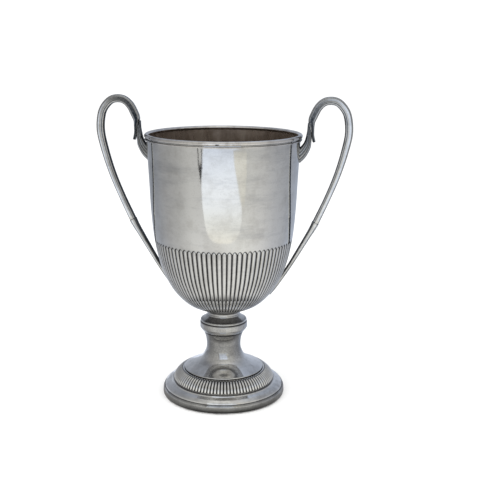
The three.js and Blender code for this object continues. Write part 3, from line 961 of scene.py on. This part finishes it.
def tent_material():
    nodes = Nodes("light_tent")
    place = nodes.place()
    axes = nodes.add("ShaderNodeSeparateXYZ", {"Vector": place}).outputs
    front = nodes.math("MULTIPLY", axes["Y"], -1.0)
    angle = nodes.math("ARCTAN2", axes["X"], front)
    share = nodes.remap(angle, -math.pi, math.pi)
    around = nodes.add("ShaderNodeValToRGB", {"Fac": share})
    fill_ramp(around, [((a + 180) / 360, tinted(l, b)) for a, l, b in TENT_LIGHT])
    level = nodes.remap(axes["Z"], 0, TENT_TOP)
    upwards = nodes.add("ShaderNodeValToRGB", {"Fac": level})
    # A ramp's colours end at 1, so it holds half of each share
    fill_ramp(upwards, [(h / TENT_TOP, (f / 2, f / 2, f / 2, 1)) for h, f in TENT_FADE])
    fade = nodes.math("MULTIPLY", upwards.outputs["Color"], 2.0)
    # A painted shadow on the table round the cup, deepest in front, and painted light behind on
    # the left
    squares = [nodes.math("POWER", axes[axis], 2.0) for axis in "XY"]
    out = nodes.math("SQRT", nodes.math("ADD", *squares))
    ahead = nodes.math("DIVIDE", front, out)
    darkest = nodes.remap(ahead, 0.1, 0.9, 0.62, 0.10)
    painted_table_shadow_and_light = nodes.remap(out, TABLE_DARK, TABLE_LIGHT, darkest, 1.0)
    behind = nodes.remap(ahead, -0.2, -0.5, 0.0, 0.6)
    left = nodes.math("LESS_THAN", axes["X"], 0.0)
    left_behind = nodes.math("MULTIPLY", behind, left)
    painted_table_shadow_and_light = nodes.math("MULTIPLY", painted_table_shadow_and_light, nodes.math("ADD", left_behind, 1.0))
    on_wall = nodes.math("GREATER_THAN", axes["Z"], 0.01)
    on_table = nodes.math("SUBTRACT", 1.0, on_wall)
    painted_table_shadow_and_light = nodes.math("ADD", nodes.math("MULTIPLY", painted_table_shadow_and_light, on_table), on_wall)
    return emission_material(nodes, around.outputs["Color"], nodes.math("MULTIPLY", fade, painted_table_shadow_and_light))


def add_tent():
    """A tent of light round the cup, which only its reflections show."""
    hole = 0.0596
    outline = [(radius, TENT_FLOOR) for radius in (hole, 0.09, 0.2, TENT_RADIUS)]
    outline += [(TENT_RADIUS, height) for height in (0.1, 0.2, TENT_WALL)]
    for degrees in (15, 30, 45, 60, 75, 89):
        angle = math.radians(degrees)
        rise = (TENT_TOP - TENT_WALL) * math.sin(angle)
        outline.append((TENT_RADIUS * math.cos(angle), TENT_WALL + rise))
    columns = 96
    radius, height = np.array(outline).T
    points = lathe_points(radius / MM, height / MM, columns)
    tent = new_piece("light_tent", points, grid_faces(len(outline), columns), [tent_material()])
    only_in_reflections(tent)


def add_card(name, outline, colour, radius):
    """A card on a cylinder round the cup, through (degrees, height) corners."""
    material = emission_material(Nodes(name), colour)
    corners = []
    for degrees, height in outline:
        angle = math.radians(degrees)
        corners.append((radius * math.sin(angle), -radius * math.cos(angle), height))
    only_in_reflections(flat_piece(name, corners, material))


# The window and the cards hang just inside the tent
WINDOW_RADIUS = TENT_RADIUS - 0.01
FLAG_RADIUS = TENT_RADIUS - 0.012
CURTAIN_RADIUS = TENT_RADIUS - 0.004
# The window's rows: height, and the degrees of its left and right edges
WINDOW_ROWS = [
    (0.30, -26, 24), (0.196, -26, 22), (0.187, -27, 12), (0.165, -29, 14), (0.145, -30, 18),
    (0.130, -30, 22), (0.117, -29, 25), (0.094, -27.5, 25.5), (0.080, -26.5, 24.5),
    (0.061, -24, 22.5), (0.046, -20, 19), (0.036, -14.5, 14), (0.030, -7, 7),
]
WINDOW_COLUMNS = 9


def window_material():
    nodes = Nodes("window_light")
    place = nodes.place()
    height = nodes.add("ShaderNodeSeparateXYZ", {"Vector": place}).outputs["Z"]
    ramp = nodes.add("ShaderNodeValToRGB", {"Fac": nodes.remap(height, 0.03, 0.18)})
    fill_ramp(ramp, [
        (0.0, (0.86, 0.84, 0.76, 1)), (0.35, (0.81, 0.82, 0.79, 1)), (0.7, (0.88, 0.92, 0.96, 1)),
        (1.0, (0.72, 0.78, 0.88, 1)),
    ])
    return emission_material(nodes, ramp.outputs["Color"])


def add_window():
    """The tall window that the bowl reflects, round at its foot, as a curved card."""
    rows = []
    for height, left, right in WINDOW_ROWS:
        angles = np.radians(np.linspace(left, right, WINDOW_COLUMNS))
        x, y = WINDOW_RADIUS * np.sin(angles), -WINDOW_RADIUS * np.cos(angles)
        rows.append(np.stack([x, y, height + 0 * angles], -1))
    points = np.array(rows).reshape(-1, 3) / MM
    faces = grid_faces(len(rows), WINDOW_COLUMNS, close_columns=False)
    only_in_reflections(new_piece("window_light", points, faces, [window_material()]))


def add_flags():
    """The window's dark frame and the pale curtain beside it."""
    dark = (0.01, 0.01, 0.012, 1)
    pale = (0.70, 0.69, 0.63, 1)
    wedge = [(-34, 0.166), (-31, 0.142), (-28.7, 0.166)]
    outer_bar = [(-34.9, 0.2), (-34.2, 0.16), (-33.1, 0.16), (-33.7, 0.2)]
    inner_bar = [(-29.7, 0.2), (-29.4, 0.16), (-28.4, 0.16), (-28.5, 0.2)]
    curtain = [
        (13, 0.182), (14, 0.165), (18, 0.145), (22, 0.130), (25, 0.118), (29, 0.122), (31, 0.15),
        (30, 0.182),
    ]
    add_card("flag_wedge", wedge, dark, FLAG_RADIUS)
    add_card("flag_bar_outer", outer_bar, dark, FLAG_RADIUS)
    add_card("flag_bar_inner", inner_bar, dark, FLAG_RADIUS)
    add_card("beige_strip", curtain, pale, CURTAIN_RADIUS)


def add_lamp(name, location):
    """A soft lamp that lights the floor, and that the silver doesn't show."""
    target = Vector((0, 0, 0.1))
    data = bpy.data.lights.new(name, "AREA")
    data.size = 2.0
    data.energy = 9
    lamp = add_object(name, data)
    lamp.location = location
    lamp.rotation_euler = (target - Vector(location)).to_track_quat("-Z", "Y").to_euler()
    lamp.visible_glossy = False


def add_studio():
    scene = bpy.context.scene
    scene.view_settings.view_transform = "Standard"
    world = bpy.data.worlds.new("studio")
    world.use_nodes = True
    background = world.node_tree.nodes["Background"]
    background.inputs["Color"].default_value = (1, 1, 1, 1)
    background.inputs["Strength"].default_value = 1.12
    scene.world = world
    add_floor()
    add_tent()
    add_window()
    add_flags()
    add_lamp("key_lamp", (-0.7, -0.8, 1.6))
    add_lamp("fill_lamp", (0.7, -0.8, 1.6))


add_camera()
add_studio()
bowl()
rim_bead()
rim_fillet()
bowl_boss()
stem_collar()
stem()
foot_band()
foot_flange()
foot_ring()
handles()
seat_plate()
stud_washer()
draw_stud()
stud_nut()
